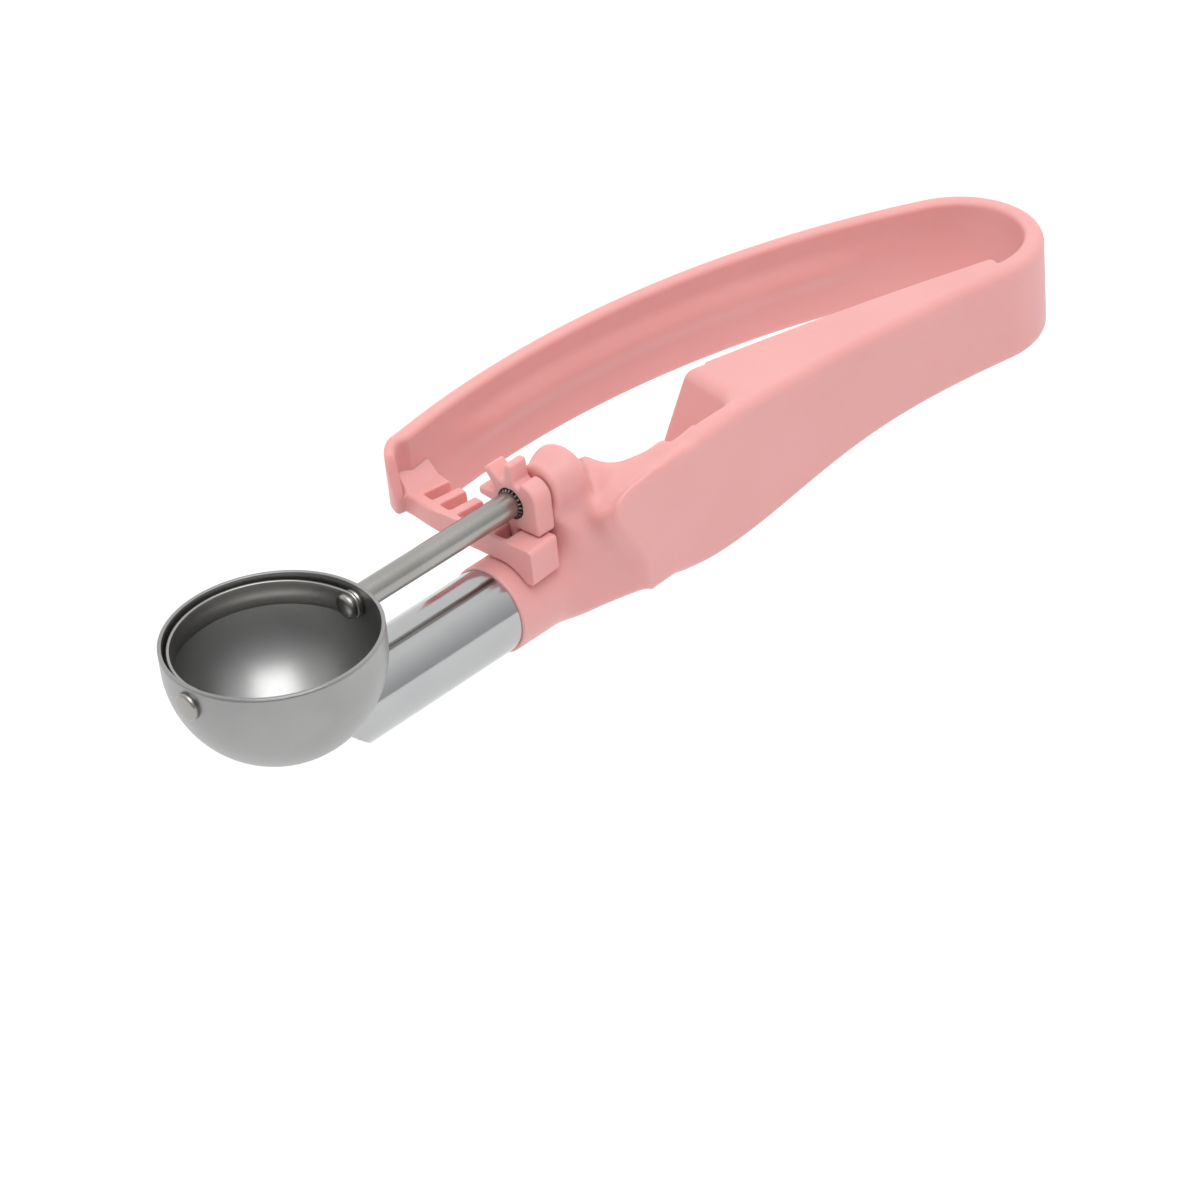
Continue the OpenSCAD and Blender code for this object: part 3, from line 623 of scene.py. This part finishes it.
# ---------------------------------------------------------------- rod, splines and pin
rod_head = [(15.9, 0.001), (15.9, 1.6), (16.3, 2.2), (17.2, 2.28), (17.2, 1.48), (17.4, 1.48),
            (17.75, 1.48), (17.75, ROD_R - 0.15), (17.9, ROD_R)]
rod_tail = [(TAIL_X - 0.5, ROD_R), (TAIL_X - 0.2, ROD_R - 0.15), (TAIL_X, ROD_R - 0.5),
            (TAIL_X, 0.001)]
rod = lathe("blade_rod_turned",
            rod_head + [(x, ROD_R) for x in np.linspace(19, 54, 36)] + rod_tail)

# splines that grip the pinion, sloping up from the rod in front
SPLINES, SPLINE_R = 20, 2.88
section = [(-0.22, ROD_R - 0.1), (-0.12, SPLINE_R), (0.12, SPLINE_R), (0.22, ROD_R - 0.1)]
stations = ((PINION_X - 0.35, ROD_R + 0.05), (PINION_X, SPLINE_R), (PINION_X + 1.2, SPLINE_R))
points, faces = [], []
for i in range(SPLINES):
    a = i * math.pi / (SPLINES / 2)
    base = len(points)
    for x, most in stations:
        for v, r in section:
            r = min(r, most)
            points.append((x, r * math.cos(a) - v * math.sin(a),
                           r * math.sin(a) + v * math.cos(a)))
    for j in range(2):
        for k in range(3):
            b = base + 4 * j + k
            faces.append((b, b + 1, b + 5, b + 4))
splines = mesh_of("rod_splines", np.array(points), np.array(faces))


# ---------------------------------------------------------------- tube and weld
def mitre(x, z):
    """Distance in front of the tube's cut end."""
    return -(x - MITRE_X + z) * math.sqrt(0.5)


def from_bowl(x, y, z):
    """Distance outside the bowl's sphere."""
    return np.sqrt(x * x + y * y + z * z) - BOWL_R


def tube_solid(x, y, z):
    """Tube, closed at both ends: cut at 45 degrees in front, and set 0.3 into the bowl."""
    rt = np.hypot(y, z - TUBE_Z)
    tube = both(rt - TUBE_R, np.maximum(mitre(x, z), x - TUBE_END), 0.35)
    return np.maximum(tube, -from_bowl(x, y, z) - 0.3)


tube = solid("shank_tube_drawn", tube_solid, (-2.5, -9, -27.2), (85.5, 9, -9), 0.45)


def weld_solid(x, y, z):
    """Bead in the corner between the tube and the bowl."""
    rt = np.hypot(y, z - TUBE_Z) - TUBE_R
    rs = from_bowl(x, y, z)
    bead = np.maximum(smin(rt, rs, 1.5) - 0.02, np.maximum(rt, rs) - 0.75)
    return np.maximum(np.maximum(bead, -rs - 0.25), mitre(x, z))


weld = solid("weld_bead", weld_solid, (-2.5, -10, -20.5), (19.5, 10, -6.5), 0.25)

pin = lathe("pivot_pin_head", [(-19.95, 0.001), (-19.95, 2.0), (-19.85, 2.3), (-19.6, 2.5),
                               (-18.6, 2.5), (-18.6, 1.0), (-17.15, 1.0), (-17.15, 1.7),
                               (-16.9, 1.7), (-16.5, 1.2), (-16.4, 0.001)])


# ---------------------------------------------------------------- materials
def material(name, base, metallic, roughness):
    """A new material with its node tree and its shader."""
    m = bpy.data.materials.new(name)
    m.use_nodes = True
    nt = m.node_tree
    bsdf = nt.nodes["Principled BSDF"]
    bsdf.inputs["Base Color"].default_value = (*base, 1)
    bsdf.inputs["Metallic"].default_value = metallic
    bsdf.inputs["Roughness"].default_value = roughness
    return m, nt, bsdf


def noise(nt, scale, detail, rough=0.55, stretch=None):
    """Noise in the object's own metres, with another scale for each axis if stretched."""
    coord = nt.nodes.new("ShaderNodeTexCoord")
    tex = nt.nodes.new("ShaderNodeTexNoise")
    tex.inputs["Scale"].default_value = scale
    tex.inputs["Detail"].default_value = detail
    tex.inputs["Roughness"].default_value = rough
    if stretch:
        mp = nt.nodes.new("ShaderNodeMapping")
        mp.inputs["Scale"].default_value = stretch
        nt.links.new(coord.outputs["Object"], mp.inputs["Vector"])
        nt.links.new(mp.outputs["Vector"], tex.inputs["Vector"])
    else:
        nt.links.new(coord.outputs["Object"], tex.inputs["Vector"])
    return tex.outputs["Fac"]


def ramp(nt, fac, lo, hi, a, b):
    """Colour or grey from a at lo to b at hi."""
    r = nt.nodes.new("ShaderNodeValToRGB")
    for e, position, value in zip(r.color_ramp.elements, (lo, hi), (a, b)):
        e.position = position
        e.color = (*value, 1) if isinstance(value, tuple) else (value, value, value, 1)
    nt.links.new(fac, r.inputs["Fac"])
    return r.outputs["Color"]


def bump(nt, bsdf, height, strength, distance):
    """Fine relief in the shader."""
    b = nt.nodes.new("ShaderNodeBump")
    b.inputs["Strength"].default_value = strength
    b.inputs["Distance"].default_value = distance
    nt.links.new(height, b.inputs["Height"])
    nt.links.new(b.outputs["Normal"], bsdf.inputs["Normal"])


def plastic():
    """Pink plastic with a fine grain and a little light through it."""
    m, nt, bsdf = material("pink_plastic", (0.76, 0.37, 0.355), 0, 0.42)
    tint = ramp(nt, noise(nt, 60, 3), 0.3, 0.7, (0.75, 0.362, 0.348), (0.77, 0.38, 0.366))
    nt.links.new(tint, bsdf.inputs["Base Color"])
    rough = ramp(nt, noise(nt, 900, 3), 0.3, 0.7, 0.40, 0.50)
    nt.links.new(rough, bsdf.inputs["Roughness"])
    bump(nt, bsdf, noise(nt, 2500, 2), 0.08, 0.0002)
    bsdf.inputs["Subsurface Weight"].default_value = 0.45
    bsdf.inputs["Subsurface Radius"].default_value = (1.0, 0.35, 0.25)
    bsdf.inputs["Subsurface Scale"].default_value = 0.003
    return m


def steel(name, dark, light, rough, stretch, grain=0.06):
    """Steel between two greys and two roughnesses, with a grain stretched by axis."""
    m, nt, bsdf = material(name, light, 1.0, sum(rough) / 2)
    tint = ramp(nt, noise(nt, 40, 4), 0.3, 0.7, dark, light)
    nt.links.new(tint, bsdf.inputs["Base Color"])
    grey = ramp(nt, noise(nt, 1, 4, 0.6, stretch), 0.3, 0.7, rough[0], rough[1])
    nt.links.new(grey, bsdf.inputs["Roughness"])
    bump(nt, bsdf, noise(nt, 1, 3, 0.6, stretch), grain, 0.0001)
    return m


pink = plastic()
bowl_steel = steel("satin_bowl", (0.30, 0.30, 0.298), (0.38, 0.38, 0.376), (0.33, 0.40),
                   (2600, 2600, 2600), 0.10)
blade_steel = steel("blade_strip", (0.34, 0.33, 0.32), (0.44, 0.43, 0.41), (0.28, 0.34),
                    (2500, 2500, 900))
rod_steel = steel("turned_rod", (0.33, 0.32, 0.30), (0.41, 0.40, 0.38), (0.26, 0.34),
                  (3000, 400, 400), 0.015)
# darker steel on the splines: painted shade of the pinion's bore round them
spline_steel_painted_shade = steel("spline_painted_shade", (0.10, 0.095, 0.09), (0.20, 0.195, 0.19), (0.3, 0.45),
                    (900, 900, 900))
tube_steel = steel("bright_tube", (0.44, 0.445, 0.45), (0.50, 0.503, 0.505), (0.10, 0.16),
                   (200, 2000, 2000), 0.02)
weld_steel = steel("weld", (0.42, 0.41, 0.40), (0.62, 0.61, 0.60), (0.3, 0.5),
                   (1500, 1500, 1500), 0.4)

for o, mat, slot in ((loop, pink, "pink_plastic"), (pinion, pink, "pink_plastic"),
                     (rack, pink, "pink_plastic"), (bowl, bowl_steel, "bowl_steel"),
                     (blade, blade_steel, "blade_steel"), (rod, rod_steel, "rod_steel"),
                     (splines, spline_steel_painted_shade, "rod_steel"), (tube, tube_steel, "tube_steel"),
                     (weld, weld_steel, "tube_steel"), (pin, rod_steel, "rod_steel")):
    o.data.materials.append(mat)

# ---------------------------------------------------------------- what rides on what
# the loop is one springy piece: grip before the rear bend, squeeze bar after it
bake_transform(loop)
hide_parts("handle_grip", "squeeze_arm")
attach(rack, "bar")
for o, body, node in ((bowl, "grip", "bowl"), (tube, "grip", "shank_tube"),
                      (weld, "grip", "shank_weld"), (pin, "grip", "pivot_pin"),
                      (blade, "blade", "scraper_blade"), (rod, "blade", "blade_rod"),
                      (splines, "blade", None), (pinion, "blade", "pinion")):
    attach(o, body)
    if node:
        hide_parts(node)

# ---------------------------------------------------------------- floor and light
floor_material, nt, bsdf = material("floor", (0.1, 0.1, 0.1), 0, 0.9)
tint = ramp(nt, noise(nt, 3, 2), 0.3, 0.7, (0.09, 0.09, 0.09), (0.11, 0.11, 0.11))
nt.links.new(tint, bsdf.inputs["Base Color"])
bsdf.inputs["Specular IOR Level"].default_value = 0.1
bsdf.inputs["Emission Color"].default_value = (1, 1, 1, 1)
bsdf.inputs["Emission Strength"].default_value = 0.98
FLOOR_HALF, FLOOR_HEIGHT = 6, -0.0275     # in metres
corners = [(x * FLOOR_HALF, y * FLOOR_HALF, 0) for x, y in ((-1, -1), (1, -1), (1, 1), (-1, 1))]
floor_mesh = bpy.data.meshes.new("floor")
floor_mesh.from_pydata(corners, [], [(0, 1, 2, 3)])
floor_mesh.materials.append(floor_material)
floor = placed("floor", floor_mesh)
floor.location = (0, 0, FLOOR_HEIGHT)

# studio walls: light behind and overhead, darker towards the front left
world = bpy.data.worlds.new("studio")
bpy.context.scene.world = world
world.use_nodes = True
nt = world.node_tree
direction = nt.nodes.new("ShaderNodeTexCoord")
dot = nt.nodes.new("ShaderNodeVectorMath")
dot.operation = "DOT_PRODUCT"
dot.inputs[1].default_value = (0.35, 0.42, 0.45)
nt.links.new(direction.outputs["Generated"], dot.inputs[0])
shift = nt.nodes.new("ShaderNodeMath")
shift.operation = "ADD"
shift.inputs[1].default_value = 0.5
nt.links.new(dot.outputs["Value"], shift.inputs[0])
walls = ramp(nt, shift.outputs["Value"], 0.12, 0.95, (0.33, 0.333, 0.34), (1.0, 1.0, 1.0))
background = nt.nodes["Background"]
nt.links.new(walls, background.inputs["Color"])
background.inputs["Strength"].default_value = 1.0

# one broad light overhead, turned towards the middle of the scoop
KEY_AT, AIM = Vector((-0.15, -0.35, 1.2)), Vector((0.08, 0, 0))
key = bpy.data.lights.new("key", "AREA")
key.shape = "RECTANGLE"
key.size, key.size_y = 1.0, 1.0
key.energy = 9
key_object = placed("key", key)
key_object.location = KEY_AT
key_object.rotation_mode = "QUATERNION"
key_object.rotation_quaternion = (AIM - KEY_AT).to_track_quat("-Z", "Y")

bpy.context.scene.view_settings.view_transform = "Standard"
bpy.context.scene.view_settings.look = "None"
